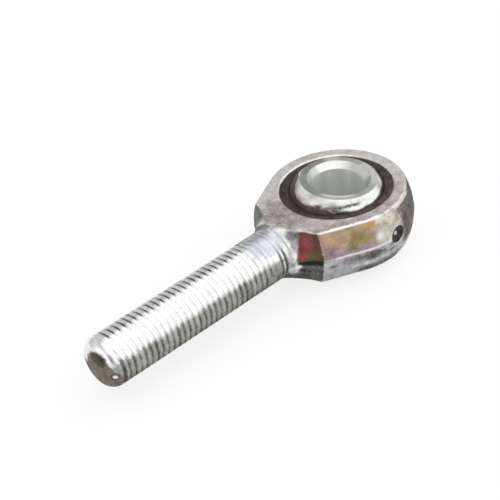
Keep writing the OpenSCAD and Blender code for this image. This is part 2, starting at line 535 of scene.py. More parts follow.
def build_ball():
    """The ball: a sphere between two flat faces, with a chamfered bore, leaning as its bore does."""
    sphere = arc_points(BALL_R, math.asin(HALF_BALL / BALL_R) - BALL_ARC_ROOM, 96)
    upper = [
        (BALL_FACE_R, HALF_BALL, 0.06 * MM),
        (CHAMFER_R, HALF_BALL, 0.06 * MM),
        (BORE_R, HALF_BALL - BORE_CHAMFER, 0.08 * MM),
    ]
    lower = [(radius, -height, edge) for radius, height, edge in reversed(upper)]
    lean = Vector((0, 0, 1)).rotation_difference(BALL_AXIS).to_matrix().to_4x4()
    outline = rounded([(x, y, 0) for x, y in sphere] + upper + lower)
    return lathe("ball_chrome", outline, TURNED_COUNT, lean)


# -------------------- places on what shows
def tree_of(pieces):
    """One tree of the finished faces of several pieces, which are all in the frame's own place."""
    verts, faces = [], []
    for piece in pieces:
        first = len(verts)
        verts.extend(piece.matrix_world @ vert.co for vert in piece.data.vertices)
        faces.extend([first + k for k in face.vertices] for face in piece.data.polygons)
    return BVHTree.FromPolygons(verts, faces)


def camera_ray(x, y):
    """The direction from the camera through a point of the image."""
    right, up, back = camera_axes()
    data = camera.data
    long_side = max(IMAGE_W, IMAGE_H)
    across = x - IMAGE_W / 2 + data.shift_x * long_side
    upwards = IMAGE_H / 2 - y + data.shift_y * long_side
    depth = long_side * data.lens / data.sensor_width
    return (across * right + upwards * up - depth * back).normalized()


def place(x, y, tree):
    """Where the ray through an image point meets the surface, or the place nearest the ray."""
    start, ray = camera.location, camera_ray(x, y)
    hit = tree.ray_cast(start, ray)[0]
    if hit:
        return hit
    reach, steps_per_mm = 30, 4
    along = range(-reach * steps_per_mm, reach * steps_per_mm + 1)
    steps = [start + ray * (CAMERA_DISTANCE + k * MM / steps_per_mm) for k in along]
    found = [tree.find_nearest(step)[:1] + tree.find_nearest(step)[3:] for step in steps]
    return min(found, key=lambda pair: pair[1])[0]


def shown_at(point):
    """Where a point of the frame shows in the image."""
    right, up, back = camera_axes()
    data = camera.data
    long_side = max(IMAGE_W, IMAGE_H)
    off = Vector(point) - camera.location
    scale = long_side * data.lens / data.sensor_width / -off.dot(back)
    return (IMAGE_W / 2 - data.shift_x * long_side + off.dot(right) * scale,
            IMAGE_H / 2 + data.shift_y * long_side - off.dot(up) * scale)


def in_view(points, tree):
    """Those of the points that nothing hides from the camera."""
    slack = 0.05 * MM
    seen = []
    for point in points:
        point = Vector(point)
        ray = point - camera.location
        hit = tree.ray_cast(camera.location, ray.normalized())[3]
        if hit is None or hit > ray.length - slack:
            seen.append(point)
    return seen


# -------------------- materials
# The grain in a bump: its depth, and its scale against that of a mottled surface's patches
GRAIN_DEPTH = 0.02 * MM
GRAIN_SCALE = 7
# The small patches of a painted metal against its large ones: their weight and their scale. The
# spread is how far from its middle their noise is wholly the one finish or the other.
SPECK_SHARE = 0.55
SPECK_SCALE = 3.4
PATCH_SPREAD = 0.26


def node(tree, kind, inputs=(), **settings):
    """A new node with its settings, each of its inputs linked to a socket or set to a value."""
    made = tree.nodes.new(kind)
    for key, value in settings.items():
        setattr(made, key, value)
    for key, value in dict(inputs).items():
        if isinstance(value, bpy.types.NodeSocket):
            tree.links.new(value, made.inputs[key])
        else:
            made.inputs[key].default_value = value
    return made


def reckon(tree, operation, *terms):
    """The result of a sum or a product of sockets and numbers."""
    return node(tree, "ShaderNodeMath", enumerate(terms), operation=operation).outputs["Value"]


def new_material(name):
    material = bpy.data.materials.new(name)
    material.use_nodes = True
    material.node_tree.nodes.clear()
    return material


def noise(tree, scale, detail, roughness=0.6, upright=1.0):
    """Noise in the object's own coordinates, streaked upright; 1000 is about a millimetre across."""
    position = node(tree, "ShaderNodeTexCoord").outputs["Object"]
    streaked = node(tree, "ShaderNodeMapping", {"Vector": position, "Scale": (1, 1, upright)})
    made = node(tree, "ShaderNodeTexNoise", {
        "Vector": streaked.outputs["Vector"], "Scale": scale, "Detail": detail, "Roughness": roughness,
    })
    return made.outputs["Fac"]


def stretch(tree, value, low, high, to_low=0.0, to_high=1.0):
    """Maps a value from one range to another, held at its ends."""
    made = node(tree, "ShaderNodeMapRange", {
        "Value": value, "From Min": low, "From Max": high, "To Min": to_low, "To Max": to_high,
    })
    return made.outputs["Result"]


def mix(tree, kind, share, first, second):
    """A mix of two sockets, both colours or both numbers, by a share."""
    inputs = {"Factor": share, "A": first, "B": second}
    return node(tree, "ShaderNodeMix", inputs, data_type=kind).outputs["Result"]


def add_metal(tree, colour, roughness, height, bump, metallic):
    """A principled shader with a fine bump, joined to the material's output."""
    lift = node(tree, "ShaderNodeBump", {"Strength": bump, "Distance": GRAIN_DEPTH, "Height": height})
    shader = node(tree, "ShaderNodeBsdfPrincipled", {
        "Base Color": colour, "Roughness": roughness, "Metallic": metallic, "Normal": lift.outputs["Normal"],
    })
    node(tree, "ShaderNodeOutputMaterial", {"Surface": shader.outputs["BSDF"]})
    return shader


def painted_metal(name, patches, sharpness, grain, bump, anisotropic=0.0, metallic=1.0, upright=1.0):
    """A metal that mixes the two finishes painted on its vertices in patches, over a fine grain."""
    material = new_material(name)
    tree = material.node_tree
    light = node(tree, "ShaderNodeVertexColor", layer_name="light").outputs
    dark = node(tree, "ShaderNodeVertexColor", layer_name="dark").outputs
    large = noise(tree, patches, 8, 0.7, upright)
    small = noise(tree, patches * SPECK_SCALE, 6, 0.7, upright)
    both = reckon(tree, "MULTIPLY_ADD", small, SPECK_SHARE, large)
    middle, spread = (1 + SPECK_SHARE) / 2, PATCH_SPREAD / sharpness
    share = stretch(tree, both, middle - spread, middle + spread)
    colour = mix(tree, "RGBA", share, dark["Color"], light["Color"])
    gloss = mix(tree, "FLOAT", share, dark["Alpha"], light["Alpha"])
    shader = add_metal(tree, colour, gloss, noise(tree, grain, 4), bump, metallic)
    shader.inputs["Anisotropic"].default_value = anisotropic
    if anisotropic:
        turned = node(tree, "ShaderNodeTangent", direction_type="RADIAL", axis="Z")
        tree.links.new(turned.outputs["Tangent"], shader.inputs["Tangent"])
    return material


def mottled(name, dark, light, roughness, spread, scale, bump, metallic=1.0):
    """A surface whose colour and gloss vary in patches, with a fine grain in its bump."""
    material = new_material(name)
    tree = material.node_tree
    patches = noise(tree, scale, 6)
    ramp = node(tree, "ShaderNodeValToRGB", {"Fac": patches})
    for element, position, colour in zip(ramp.color_ramp.elements, (0.36, 0.66), (dark, light)):
        element.position = position
        element.color = (*colour, 1)
    gloss = stretch(tree, patches, 0, 1, roughness - spread, roughness + spread)
    add_metal(tree, ramp.outputs["Color"], gloss, noise(tree, scale * GRAIN_SCALE, 4), bump, metallic)
    return material


# -------------------- finishes
# Each finish: its light colour, its dark colour, and its roughness
ZINC = ((0.9, 0.9, 0.88), (0.74, 0.74, 0.76), 0.26)
FORGED = ((0.76, 0.73, 0.7), (0.44, 0.39, 0.37), 0.4)
UMBER = ((0.5, 0.43, 0.41), (0.27, 0.22, 0.205), 0.42)
# a near-white finish for painted highlights on edges and small spots
PAINTED_HIGHLIGHT = ((0.98, 0.96, 0.95), (0.8, 0.74, 0.73), 0.3)
# a near-black brown for painted shade
DEEP_SHADE = ((0.22, 0.19, 0.17), (0.08, 0.07, 0.062), 0.6)
SMOKE = ((0.16, 0.16, 0.15), (0.07, 0.07, 0.065), 0.6)
RED = ((0.3, 0.075, 0.08), (0.16, 0.05, 0.045), 0.35)
OLIVE = ((0.16, 0.13, 0.055), (0.07, 0.06, 0.03), 0.4)
TAN = ((0.55, 0.385, 0.265), (0.4, 0.27, 0.18), 0.35)
MOSS = ((0.36, 0.28, 0.13), (0.25, 0.19, 0.085), 0.4)
STRAW = ((0.5, 0.36, 0.17), (0.4, 0.28, 0.14), 0.35)
ROSE = ((0.5, 0.41, 0.35), (0.4, 0.31, 0.27), 0.35)
PALE = ((0.7, 0.68, 0.58), (0.45, 0.43, 0.35), 0.32)
ASH = ((0.56, 0.56, 0.56), (0.3, 0.3, 0.31), 0.32)
VIOLET = ((0.42, 0.4, 0.43), (0.19, 0.18, 0.205), 0.35)
# a dark finish for dirt and painted shade under the rod and in its grooves
GRIME_AND_SHADE = ((0.12, 0.12, 0.105), (0.05, 0.05, 0.043), 0.55)
HAZE = ((0.64, 0.65, 0.69), (0.47, 0.49, 0.53), 0.34)
SAGE = ((0.46, 0.47, 0.43), (0.27, 0.28, 0.25), 0.4)
# a dark brown for dirt and painted shade in the thread's upper grooves, also laid at the tip's shoulder
DEEP_BROWN = ((0.12, 0.085, 0.075), (0.05, 0.035, 0.03), 0.5)
INK = ((0.04, 0.04, 0.035), (0.015, 0.015, 0.012), 0.5)
BURNT = ((0.17, 0.075, 0.06), (0.1, 0.05, 0.04), 0.4)
TIP_BROWN = ((0.24, 0.21, 0.175), (0.11, 0.09, 0.072), 0.5)
TIP_DARK = ((0.085, 0.075, 0.06), (0.045, 0.04, 0.03), 0.5)
BRIGHT = ((0.86, 0.84, 0.81), (0.58, 0.54, 0.52), 0.38)
SHADED = ((0.36, 0.375, 0.35), (0.25, 0.265, 0.245), 0.3)
# a brown painted on the back of the ball: a painted reflection
BROWN_REFLECTION = ((0.7, 0.655, 0.625), (0.42, 0.36, 0.33), 0.2)
# the lit copy of the turned steel: where it is laid by angle on the ball's chamfers and flat ring, it is a
# painted highlight
CHAMFER = ((0.74, 0.75, 0.72), (0.6, 0.61, 0.58), 0.3)
CHROME = ((0.74, 0.74, 0.71), (0.55, 0.55, 0.52), 0.12)
TURNED = ((0.5, 0.515, 0.485), (0.36, 0.375, 0.35), 0.3)
BORED = ((0.96, 0.96, 0.97), (0.84, 0.84, 0.85), 0.45)
BORE_SHADE = ((0.84, 0.86, 0.83), (0.62, 0.64, 0.61), 0.45)
KHAKI = ((0.4, 0.33, 0.17), (0.28, 0.22, 0.12), 0.35)
BLUSH = ((0.58, 0.34, 0.25), (0.4, 0.22, 0.17), 0.35)
SEDGE = ((0.28, 0.29, 0.13), (0.17, 0.17, 0.08), 0.38)
PINK = ((0.6, 0.33, 0.38), (0.4, 0.22, 0.26), 0.35)
LILAC = ((0.38, 0.29, 0.33), (0.22, 0.17, 0.19), 0.35)
PEARL = ((0.85, 0.82, 0.9), (0.62, 0.58, 0.66), 0.3)
# the ball's dark film: partly old grease, partly painted shade and reflection of the race
GREASE_AND_SHADE = ((0.11, 0.09, 0.08), (0.05, 0.042, 0.037), 0.5)


def points_of(piece):
    """The piece's vertices as rows of x, y, z."""
    flat = np.empty(len(piece.data.vertices) * 3)
    piece.data.vertices.foreach_get("co", flat)
    return flat.reshape(-1, 3)


def ripple(at, scale):
    """A slow irregular wave from -1 to 1 over the surface, for the edges of stains."""
    x, y, z = at.T * scale
    return (np.sin(2.1 * x + 1.3 * y + 0.7 * z + 1) + np.sin(1.7 * y - 2.3 * z + 0.9 * x + 2)
            + np.sin(3.1 * z + 0.6 * x - 1.9 * y + 4)) / 3


def patch(at, centre, along, upright, soft):
    """1 near a centre, falling to 0 round it, over an oval of two half sizes."""
    off = at - np.array(centre)
    level = np.hypot(off[:, 0], off[:, 1]) / along
    away = np.hypot(level, off[:, 2] / upright)
    return smooth_step((1 - away) / soft + 0.5)


# How far the dark layer leads the light one at the edge of a finish
LEAD = 0.6


class Coat:
    """The finishes of a piece's vertices, laid one over the other and stored for its material."""

    def __init__(self, piece, finish):
        self.piece = piece
        self.at = points_of(piece)
        self.tree = tree_of([piece])
        self.marks = {}
        self.light = np.tile([*finish[0], finish[2]], (len(self.at), 1))
        self.dark = np.tile([*finish[1], finish[2]], (len(self.at), 1))

    def lay(self, finish, share):
        """Lays a finish; at its edge the dark layer leads, so that the material's noise breaks it up."""
        light, dark, roughness = finish
        lead = np.clip(share, 0, 1)[:, None] * (1 + LEAD)
        self.light += (np.array([*light, roughness]) - self.light) * np.clip(lead - LEAD, 0, 1)
        self.dark += (np.array([*dark, roughness]) - self.dark) * np.clip(lead, 0, 1)

    def spot(self, name, point, finish, along, upright, soft, within=1.0):
        """Lays a finish over an oval round an image point, and keeps where it is under a name."""
        share = within * patch(self.at, place(*point, self.tree), along, upright, soft)
        self.lay(finish, share)
        self.marks[name] = (point, [Vector(spot) for spot in self.at[share > 0.5]])

    def store(self):
        for name, colours in (("light", self.light), ("dark", self.dark)):
            layer = self.piece.data.color_attributes.new(name, "FLOAT_COLOR", "POINT")
            layer.data.foreach_set("color", colours.ravel())


# -------------------- the rod's coat
# How softly one surface of the rod passes into the next, and where the forged flanks end
SOFT = 0.12 * MM
FLANK_END = 9.6 * MM
# The smaller stains on the flank, in mm: x, z, half sizes along and upright, share, finish
SMALL_STAINS = (
    (5.4, 2.95, 2.8, 0.35, 0.7, KHAKI),
    (7.7, 2.1, 0.8, 0.9, 0.7, BLUSH),
    (5.0, 0.8, 1.0, 0.4, 0.9, SEDGE),
    (6.5, 0.85, 0.7, 0.4, 0.9, PINK),
    (3.4, 0.75, 1.1, 0.35, 0.9, VIOLET),
    (0.3, -1.4, 0.8, 0.2, 0.8, SMOKE),
    (0.3, -0.6, 0.6, 0.35, 0.8, SMOKE),
    (3.5, -2.0, 0.5, 0.4, 0.75, PEARL),
    (4.7, -1.95, 0.8, 0.35, 0.6, PEARL),
    (1.2, 2.1, 1.0, 0.7, 0.8, SAGE),
    (1.9, 1.2, 0.7, 0.9, 0.6, ZINC),
    (1.1, 0.3, 0.4, 0.5, 0.6, SAGE),
    (7.2, -1.1, 0.8, 0.3, 0.8, SMOKE),
)


class RodCoat(Coat):
    """A coat that knows where each vertex of the rod is, and how far it is on each of its surfaces."""

    def __init__(self, piece, finish):
        super().__init__(piece, finish)
        self.x, self.y, self.z = self.at.T
        self.rho = np.hypot(self.y, self.z)
        self.round_shank = np.degrees(np.arctan2(self.z, self.y))
        self.round_eye = np.degrees(np.arctan2(self.y, self.x))
        self.side = side_distance(self.x, self.y, self.z)
        self.wavy = 0.3 * MM * ripple(self.at, 1.2 / MM)
        self.near = self.y > 0
        self.above = smooth_step(self.z / SOFT + 0.5)
        flat = np.abs(self.z)
        turned = turned_distance(self.x, self.rho)
        self.on_face = rise(flat, HALF_EYE - 2 * SOFT, SOFT)
        self.on_side = fall(flat, HALF_EYE - 0.05 * MM - SOFT, SOFT)
        self.on_neck = smooth_step((turned - self.side) / SOFT + 0.5)
        on_head = band(self.x, -1, FLANK_END, 0.5 * MM)
        self.on_flank = smooth_step((self.side - turned) / SOFT + 0.5) * self.on_side * self.near * on_head


def coat_faces(coat):
    """The milled faces: pinkish grey, lighter behind the eye, with a painted highlight along their far edge
    near the neck.
    """
    x, y, z, side, wavy, on_face = coat.x, coat.y, coat.z, coat.side, coat.wavy, coat.on_face
    forged = band(x + wavy, -1, 9.4 * MM, MM)
    coat.lay(FORGED, forged * (1 - coat.on_neck * (1 - on_face) * 0.6))
    coat.spot("bright", BRIGHT_AT, BRIGHT, 5 * MM, MM, 0.8, on_face)
    behind = fall(x, -4.5 * MM, 3 * MM) * rise(y, -9 * MM, 3 * MM)
    coat.lay(BRIGHT, on_face * behind * fall(x, -4 * MM, 4 * MM) * fall(y, 3.6 * MM, 2 * MM))
    coat.lay(UMBER, on_face * patch(coat.at, (7.4 * MM, -2.4 * MM, HALF_EYE), 1.9 * MM, MM, 1.0) * 0.5)
    # a painted highlight along the far rounded edge near the neck
    far_edge = rise(z, 2.5 * MM, 0.4 * MM) * rise(side + wavy, -0.7 * MM, 0.3 * MM)
    coat.lay(PAINTED_HIGHLIGHT, far_edge * band(y, -5.2 * MM, 0.9 * MM, 0.8 * MM) * band(x, 7 * MM, 10.9 * MM, MM))
    near_edge = band(side, -0.9 * MM, -0.16 * MM, 0.14 * MM) * band(x, 2.5 * MM, 9.4 * MM, MM)
    coat.lay(UMBER, on_face * near_edge * coat.near * 0.6)
    coat.lay(UMBER, on_face * band(coat.round_eye, 50, 105, 30) * 0.35)
    coat.spot("umber", UMBER_AT, UMBER, 2.6 * MM, MM, 0.8, on_face * 0.7)


def coat_flank(coat):
    """The flank in view: clear above the parting line, with stains, and streaked below it, with painted
    shade along its lower edge and a painted highlight along the parting line.
    """
    x, z, wavy, on_flank = coat.x, coat.z, coat.wavy, coat.on_flank
    upper = on_flank * coat.above
    lower = on_flank * (1 - coat.above)
    coat.lay(PALE, upper * band(x + wavy, -1.4 * MM, 3.4 * MM, 1.4 * MM))
    coat.lay(TAN, upper * band(x + wavy, 2.2 * MM, FLANK_END, MM))
    coat.spot("rose", ROSE_STAIN_AT, ROSE, 1.1 * MM, 0.9 * MM, 0.9, upper)
    coat.spot("straw", STRAW_STAIN_AT, STRAW, 0.9 * MM, 0.6 * MM, 0.9, upper)
    coat.spot("moss", MOSS_STAIN_AT, MOSS, 1.7 * MM, 0.9 * MM, 1.2, upper * 0.9)
    low_edge = 0.6 * MM + 0.2 * (x - 2.6 * MM) + 0.5 * wavy
    coat.lay(LILAC, upper * band(z, -MM, low_edge, 0.3 * MM) * band(x, 2.6 * MM, FLANK_END, MM) * 0.8)
    coat.lay(ASH, lower * band(x + wavy, -3 * MM, FLANK_END, 2 * MM))
    coat.spot("violet", VIOLET_STAIN_AT, VIOLET, 1.7 * MM, 0.6 * MM, 0.9, lower)
    # painted shade along the lower edge of the flank
    low_streak = band(z, -4 * MM, -2.3 * MM, 0.5 * MM) * band(x + wavy, -2 * MM, 4.4 * MM, 1.6 * MM)
    coat.lay(DEEP_SHADE, on_flank * low_streak * 0.85)
    # a spot of painted shade low on the flank
    coat.spot("shade", LOW_SHADE_AT, SMOKE, 2 * MM, 0.7 * MM, 1.1, lower * 0.85)
    for across, height, along, upright, share, finish in SMALL_STAINS:
        off = np.hypot((x - across * MM) / (along * MM), (z - height * MM) / (upright * MM))
        coat.lay(finish, on_flank * smooth_step(1.1 - off + 0.3 * wavy / MM) * share)
    # a painted highlight along the parting line
    parting = band(z + 0.3 * wavy, -0.26 * MM, 0.04 * MM, 0.14 * MM) * band(x, 0.4 * MM, 7 * MM, MM)
    coat.lay(PEARL, on_flank * parting)


def coat_corner(coat):
    """The curved corner between the flank and the neck: red above the parting line, painted shade below it,
    and a dark line along the parting line that is partly its seam and partly painted shade.
    """
    x, z = coat.x, coat.z
    on_corner = coat.on_neck * coat.near * coat.on_side
    upper = on_corner * coat.above
    leaning = x + 0.38 * (z - 1.4 * MM)
    coat.lay(RED, upper * band(leaning, 5 * MM, 9.8 * MM, 0.4 * MM))
    coat.lay(BURNT, upper * band(x, 5 * MM, 8.85 * MM, 0.5 * MM))
    coat.spot("red", RED_STAIN_AT, RED, 0.8 * MM, MM, 0.9, upper)
    coat.spot("olive", OLIVE_STAIN_AT, OLIVE, 1.2 * MM, 0.7 * MM, 0.9, upper)
    # painted shade on the corner below the parting line
    coat.lay(GRIME_AND_SHADE, on_corner * (1 - coat.above) * band(x, 5 * MM, 9.9 * MM, 0.5 * MM) * 0.9)
    # a dark line along the parting line: partly the seam, partly painted shade
    parting = band(z, -0.72 * MM, 0.04 * MM, 0.14 * MM) * band(x, 5 * MM, 10.1 * MM, 0.3 * MM)
    coat.lay(INK, on_corner * parting)


def coat_ends(coat):
    """The two ends of the eye's side, darkened with painted shade, and painted highlights along the edges of
    its faces.
    """
    x, y, z, near, on_side = coat.x, coat.y, coat.z, coat.near, coat.on_side
    # painted shade high on the near side towards the limb
    coat.lay(UMBER, near * on_side * fall(x, -0.5 * MM, 1.2 * MM) * rise(z, 1.2 * MM, 0.6 * MM) * 0.6)
    # painted shade round the limb
    limb = fall(x, -2.2 * MM, 1.4 * MM) * rise(z, -2.9 * MM, 1.6 * MM)
    coat.lay(DEEP_SHADE, limb * on_side * rise(y, -3 * MM, 6 * MM))
    # painted shade on the far side near the neck
    coat.lay(SMOKE, on_side * fall(y, -3 * MM, 2 * MM) * band(x, 2 * MM, 10.4 * MM, 3 * MM) * 0.9)
    # a dark line of painted shade at the limb
    coat.lay(INK, near * on_side * fall(x, -5.3 * MM, MM) * rise(z, -1.5 * MM, MM) * 0.7)
    # a painted highlight along the lower edge
    low_edge = band(z, -3.3 * MM, -2.75 * MM, 0.16 * MM) * band(x, -6 * MM, -0.9 * MM, MM)
    coat.lay(PAINTED_HIGHLIGHT, near * low_edge * 0.8)
    # a painted highlight along the upper edge near the limb
    high_edge = band(z, 2.95 * MM, 3.3 * MM, 0.16 * MM) * band(x, -4.5 * MM, -1.2 * MM, MM)
    coat.lay(BRIGHT, near * high_edge * 0.8)
    # a painted highlight along the rim of the face
    rim = rise(coat.side + 0.6 * coat.wavy, -0.2 * MM, 0.24 * MM) * band(x, MM, 8.7 * MM, 2 * MM)
    coat.lay(PAINTED_HIGHLIGHT, coat.on_face * rim * near)


def coat_thread(coat):
    """Painted shade under the shank and in its grooves, partly dirt, left off along the side in view."""
    x, turn = coat.x, coat.round_shank
    depth = np.clip((neck_radius(x) - coat.rho) / THREAD_DEPTH, 0, 1) * band(x, 0, THREAD_END, 0.1 * MM)
    on_thread = rise(x, JOIN_X, 2 * MM)
    under = band(turn, -200, 22, 16) + band(turn, 170, 200, 14)
    # grey-green on the underside of the shank: painted shade
    coat.lay(SAGE, on_thread * under)
    # dark grooves along the upper edge: dirt and painted shade
    coat.lay(DEEP_BROWN, on_thread * depth * band(turn, 84, 190, 12) * 0.95)
    # darker grooves underneath: dirt and painted shade
    coat.lay(GRIME_AND_SHADE, on_thread * under * depth * 0.6)
    # the underside darker: painted shade
    coat.lay(GRIME_AND_SHADE, on_thread * band(turn, -178, -22, 24) * (0.55 + 0.35 * depth))


def coat_neck(coat):
    """The turned neck: painted shade below it and in its grooves, and a light patch above."""
    at, x, turn = coat.at, coat.x, coat.round_shank
    # painted shade below the neck and the start of the shank
    coat.lay(GRIME_AND_SHADE, band(x, 8.8 * MM, 11.6 * MM, MM) * band(turn, -175, -30, 16) * 0.9)
    coat.lay(GRIME_AND_SHADE, band(x, 11 * MM, 19 * MM, 3 * MM) * band(turn, -175, -2, 24) * 0.3)
    # painted shade in the grooves, on the sides where they show dark
    dull = band(turn, -200, 66, 18) + band(turn, 92, 135, 14) * 0.7
    for middle, half, _ in TURNED_GROOVES:
        coat.lay(SMOKE, hump(x, middle, half * 1.1) * dull)
    coat.lay(INK, band(x, 10.2 * MM, 10.85 * MM, 0.3 * MM) * band(turn, 94, 172, 14) * 0.8)
    coat.lay(GRIME_AND_SHADE, band(x, 11.4 * MM, 14.5 * MM, 0.8 * MM) * band(turn, 110, 190, 16) * 0.75)
    coat.lay(SMOKE, band(x, 10.3 * MM, 10.8 * MM, 0.3 * MM) * band(turn, -34, 28, 16) * 0.42)
    crease = hump(x, 10.05 * MM, 0.22 * MM) * band(coat.z, 1.4 * MM, 2.9 * MM, 0.5 * MM)
    coat.lay(SMOKE, crease * coat.near * 0.6)
    # a spot of painted shade on the neck
    coat.spot("neck_shade", NECK_SHADE_AT, DEEP_SHADE, 0.9 * MM, 0.5 * MM, 1.0, 0.9)
    coat.lay(HAZE, patch(at, (12.55 * MM, 0.9 * MM, 2.85 * MM), 2.4 * MM, 1.6 * MM, 1.2))
    # a painted highlight low on the near side
    coat.lay(PAINTED_HIGHLIGHT, patch(at, (10 * MM, 3.45 * MM, -0.75 * MM), 0.42 * MM, 0.26 * MM, 0.9))


def coat_tip(coat):
    """The tip: a dull end with a dark patch and a painted glint, below a bright rounded edge, and painted
    shade on its lower side.
    """
    x, turn = coat.x, coat.round_shank
    at_end = x > THREAD_END - 0.3 * MM
    end_r = (2.78 - 0.0073 * np.maximum(turn, -40)) * MM
    coat.lay(TIP_BROWN, at_end * fall(coat.rho - 0.5 * coat.wavy - end_r, -0.3 * MM, 0.3 * MM))
    # painted shade on the lower side of the tip
    coat.lay(TIP_BROWN, at_end * band(turn, -200, -8, 20))
    coat.spot("tip_patch", TIP_PATCH_AT, TIP_DARK, 1.2 * MM, 0.9 * MM, 0.6)
    shoulder = band(x, THREAD_END - 0.25 * MM, THREAD_END + 0.2 * MM, 0.1 * MM)
    coat.lay(DEEP_BROWN, shoulder * band(turn, -60, 30, 20) * 0.6)
    # a dark patch round a painted glint on the tip
    coat.lay(TIP_DARK, patch(coat.at, place(*TIP_GLINT, coat.tree), 0.55 * MM, 0.5 * MM, 0.6) * 0.7)
    coat.spot("tip_glint", TIP_GLINT, PAINTED_HIGHLIGHT, 0.26 * MM, 0.22 * MM, 0.8)


def coat_rod(piece):
    """Bright zinc on the shank, duller and pinkish on the forged head, with stains on its near side, and
    painted shade and painted highlights.
    """
    coat = RodCoat(piece, ZINC)
    for part in (coat_faces, coat_flank, coat_corner, coat_ends, coat_thread, coat_neck, coat_tip):
        part(coat)
    coat.store()
    return coat.marks


# -------------------- the ball's coat
# Angles round the bore against how dark its wall is painted, as painted shade, and angles round the eye
# against how far, in mm, the dark film climbs the ball, a film that is partly grease and partly painted
# shade and reflection of the race
BORE_SHADES = ((-180, -172, -163, -150, -130, -119, -106, -75, 180), (1, 0.9, 0, 0.5, 0.5, 0.1, 0.8, 1, 1))
FILM_TOPS = (
    (-180, -110, -80, -50, -30, -12, 30, 42, 90, 130, 170, 180),
    (0.1, 0.3, 1, 1.6, 0.9, 0.5, 0.5, 0.15, 0, 0.4, 0.3, 0.1),
)
# How far off a surface of the ball, and off an edge of it, a vertex still counts as on it
ON_SURFACE = 0.01 * MM
ON_EDGE = 0.03 * MM
# The direction, in x and y, of the side where the chamfer is painted light, a painted highlight
LIGHT_SIDE = (-0.91, -0.41)


def coat_sphere(coat, turn):
    """The sphere: a painted brown reflection at the back, brown in front, painted highlights near its faces,
    and a dark film at the race, partly grease and partly painted shade and reflection of the race.
    """
    x, y = coat.at[:, 0], coat.at[:, 1]
    up = np.abs(coat.at[:, 2])
    behind = smooth_step((-0.15 - (y - x) / BALL_R) / 0.5)
    # a painted brown reflection on the back of the sphere
    coat.lay(BROWN_REFLECTION, behind * fall(up, HALF_BALL - 0.85 * MM, 0.6 * MM))
    coat.lay(UMBER, band(turn, -14, 24, 18) * fall(up, HALF_BALL - 0.7 * MM, 0.3 * MM) * 0.8)
    # painted highlights where the sphere meets its faces
    glint = band(turn, -26, 2, 14) + band(turn, 16, 36, 12)
    coat.lay(PAINTED_HIGHLIGHT, glint * band(up, HALF_BALL - 0.3 * MM, HALF_BALL + MM, 0.3 * MM))
    wave = 0.08 * MM * ripple(coat.at, 1.6 / MM)
    film_top = HALF_RACE + np.interp(turn, *FILM_TOPS) * MM
    # the dark film round the race: partly grease, partly painted shade and reflection of the race
    coat.lay(GREASE_AND_SHADE, band(up + wave - film_top, -HALF_RACE, 0, 0.22 * MM))
    # a dark streak in front: painted reflection
    streak = band(up + wave, HALF_RACE + 0.4 * MM, HALF_RACE + 0.7 * MM, 0.24 * MM)
    coat.lay(GREASE_AND_SHADE, streak * band(turn, 14, 74, 16) * 0.8)


def coat_ball_ends(coat, turn):
    """The turned faces of the ball, the chamfers of its bore, lit at the back, and the bore's wall, all with
    painted highlights and painted shade.
    """
    axis = np.array(BALL_AXIS)
    along = coat.at @ axis
    out = np.linalg.norm(coat.at - along[:, None] * axis, axis=1)
    x, y = coat.at[:, 0], coat.at[:, 1]
    lit = rise((LIGHT_SIDE[0] * x + LIGHT_SIDE[1] * y) / np.maximum(out, MM), 0.5, 0.25)
    on_chamfer = (np.abs(along) > HALF_BALL - BORE_CHAMFER - ON_SURFACE) & (out < CHAMFER_R)
    # the chamfer painted light on its lit side and darker elsewhere: painted highlight and painted shade
    coat.lay(CHAMFER, on_chamfer * 1.0)
    coat.lay(TURNED, on_chamfer * (1 - lit) * band(turn, -95, 150, 30) * 0.85)
    on_ring = (out > CHAMFER_R - ON_EDGE) & (np.abs(along) > HALF_BALL - ON_EDGE)
    coat.lay(TURNED, on_ring * 1.0)
    # painted highlights on the flat ring
    coat.lay(CHAMFER, on_ring * (band(turn, -140, -116, 20) + band(turn, 120, 190, 30) * 0.8))
    # painted shade on the left of the flat ring
    coat.lay(SHADED, on_ring * smooth_step((x - y) / BALL_R * 1.4 + 0.1) * 0.9)
    # a painted highlight along the inner edge of the flat ring, in front
    coat.lay(PAINTED_HIGHLIGHT, on_ring * (out < CHAMFER_R + 0.07 * MM) * band(turn, 22, 74, 20))
    in_bore = out < BORE_R + ON_SURFACE
    coat.lay(BORED, in_bore * 1.0)
    # painted shade round the bore's wall
    coat.lay(BORE_SHADE, in_bore * np.interp(turn, *BORE_SHADES))


def coat_ball(piece):
    """Chrome on the sphere, with a dark film where it meets the race, partly grease and partly painted shade
    and reflection, and turned ends with painted highlights and shade.
    """
    coat = Coat(piece, CHROME)
    turn = np.degrees(np.arctan2(coat.at[:, 1], coat.at[:, 0]))
    coat_sphere(coat, turn)
    coat_ball_ends(coat, turn)
    coat.store()


# -------------------- the pieces
zinc = painted_metal("zinc_plated_steel", patches=900, sharpness=1.6, grain=6000, bump=0.35)
chrome = painted_metal("hard_chrome", patches=700, sharpness=1.8, grain=9000, bump=0.12)
turned_chrome = painted_metal(
    "turned_chrome", patches=900, sharpness=1.2, grain=9000, bump=0.15, anisotropic=0.4)
bored_chrome = painted_metal(
    "bored_chrome", patches=600, sharpness=1.0, grain=9000, bump=0.15, metallic=0.5, upright=0.12)
dark_steel = mottled(
    "dark_race_steel", dark=(0.05, 0.04, 0.035), light=(0.115, 0.095, 0.085),
    roughness=0.5, spread=0.1, scale=900, bump=0.8)
bright_steel = mottled(
    "bright_steel", dark=(0.5, 0.5, 0.49), light=(0.7, 0.7, 0.68),
    roughness=0.15, spread=0.05, scale=2000, bump=0.2)
oxide = mottled(
    "black_oxide", dark=(0.02, 0.02, 0.018), light=(0.06, 0.06, 0.055),
    roughness=0.45, spread=0.1, scale=1500, bump=0.5)
